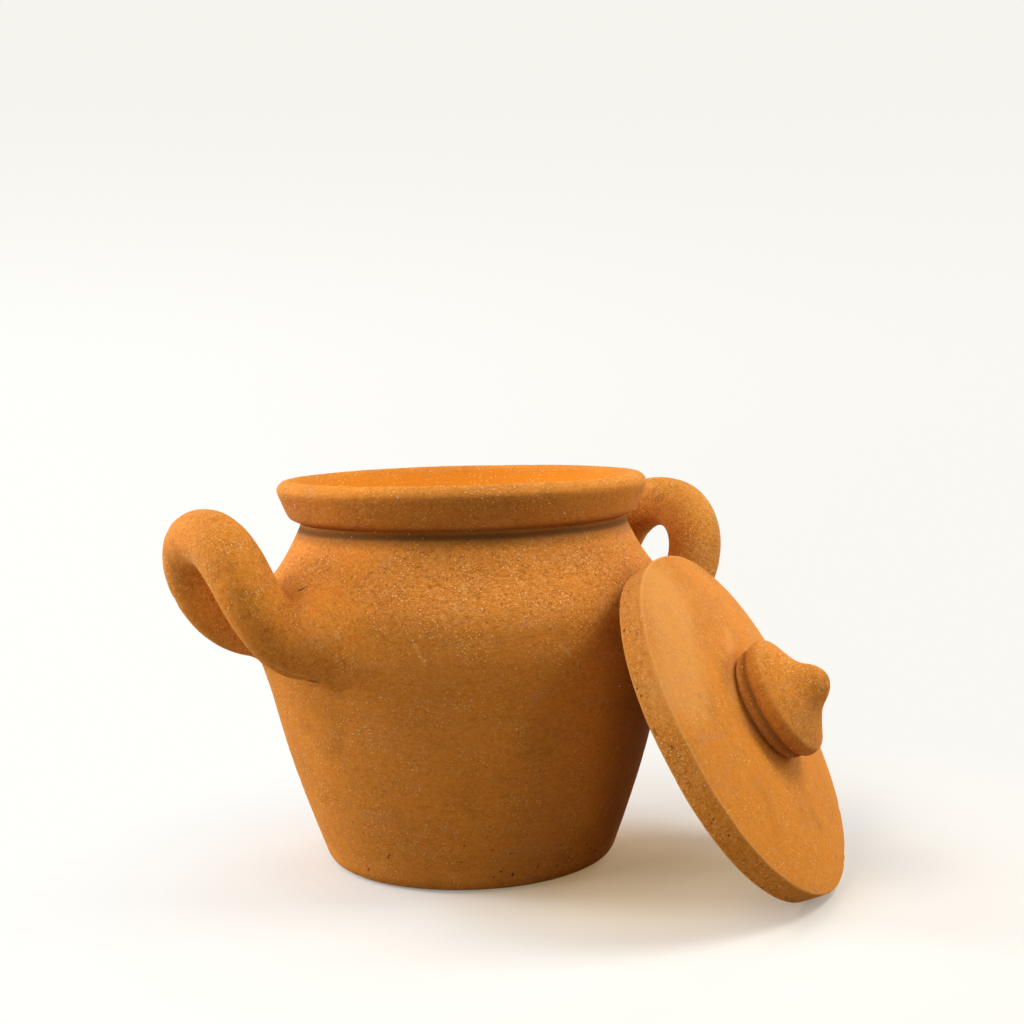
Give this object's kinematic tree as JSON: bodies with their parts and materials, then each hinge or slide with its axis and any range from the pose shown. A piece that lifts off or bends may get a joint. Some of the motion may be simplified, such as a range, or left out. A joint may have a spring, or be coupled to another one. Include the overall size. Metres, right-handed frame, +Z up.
{
  "type": "lidded clay pot",
  "caption": "Round unglazed clay pot with a flared rim collar, a raised rod handle on each side and a loose knobbed lid that leans on its shoulder, for holding and serving food.",
  "frame": {"origin": "middle of the flat base, on the surface the pot stands on", "axes": "+Z up along the pot's own axis, +X towards the right handle, -Y towards the side on which the lid leans"},
  "size_m": [0.1872, 0.185, 0.1199],
  "materials": {
    "terracotta": "matte unglazed fired clay with sand and mica specks"
  },
  "bodies": {
    "pot": {"pot_body": "terracotta", "rim_collar": "terracotta", "left_handle": "terracotta", "right_handle": "terracotta"},
    "lid": {"lid_plate": "terracotta", "lid_knob": "terracotta"}
  },
  "joints": [
    {"name": "lid_lift", "type": "slide", "parent": "pot", "child": "lid", "axis": [0.4687, -0.7414, 0.4802], "range_m": [0, 0.15]}
  ]
}
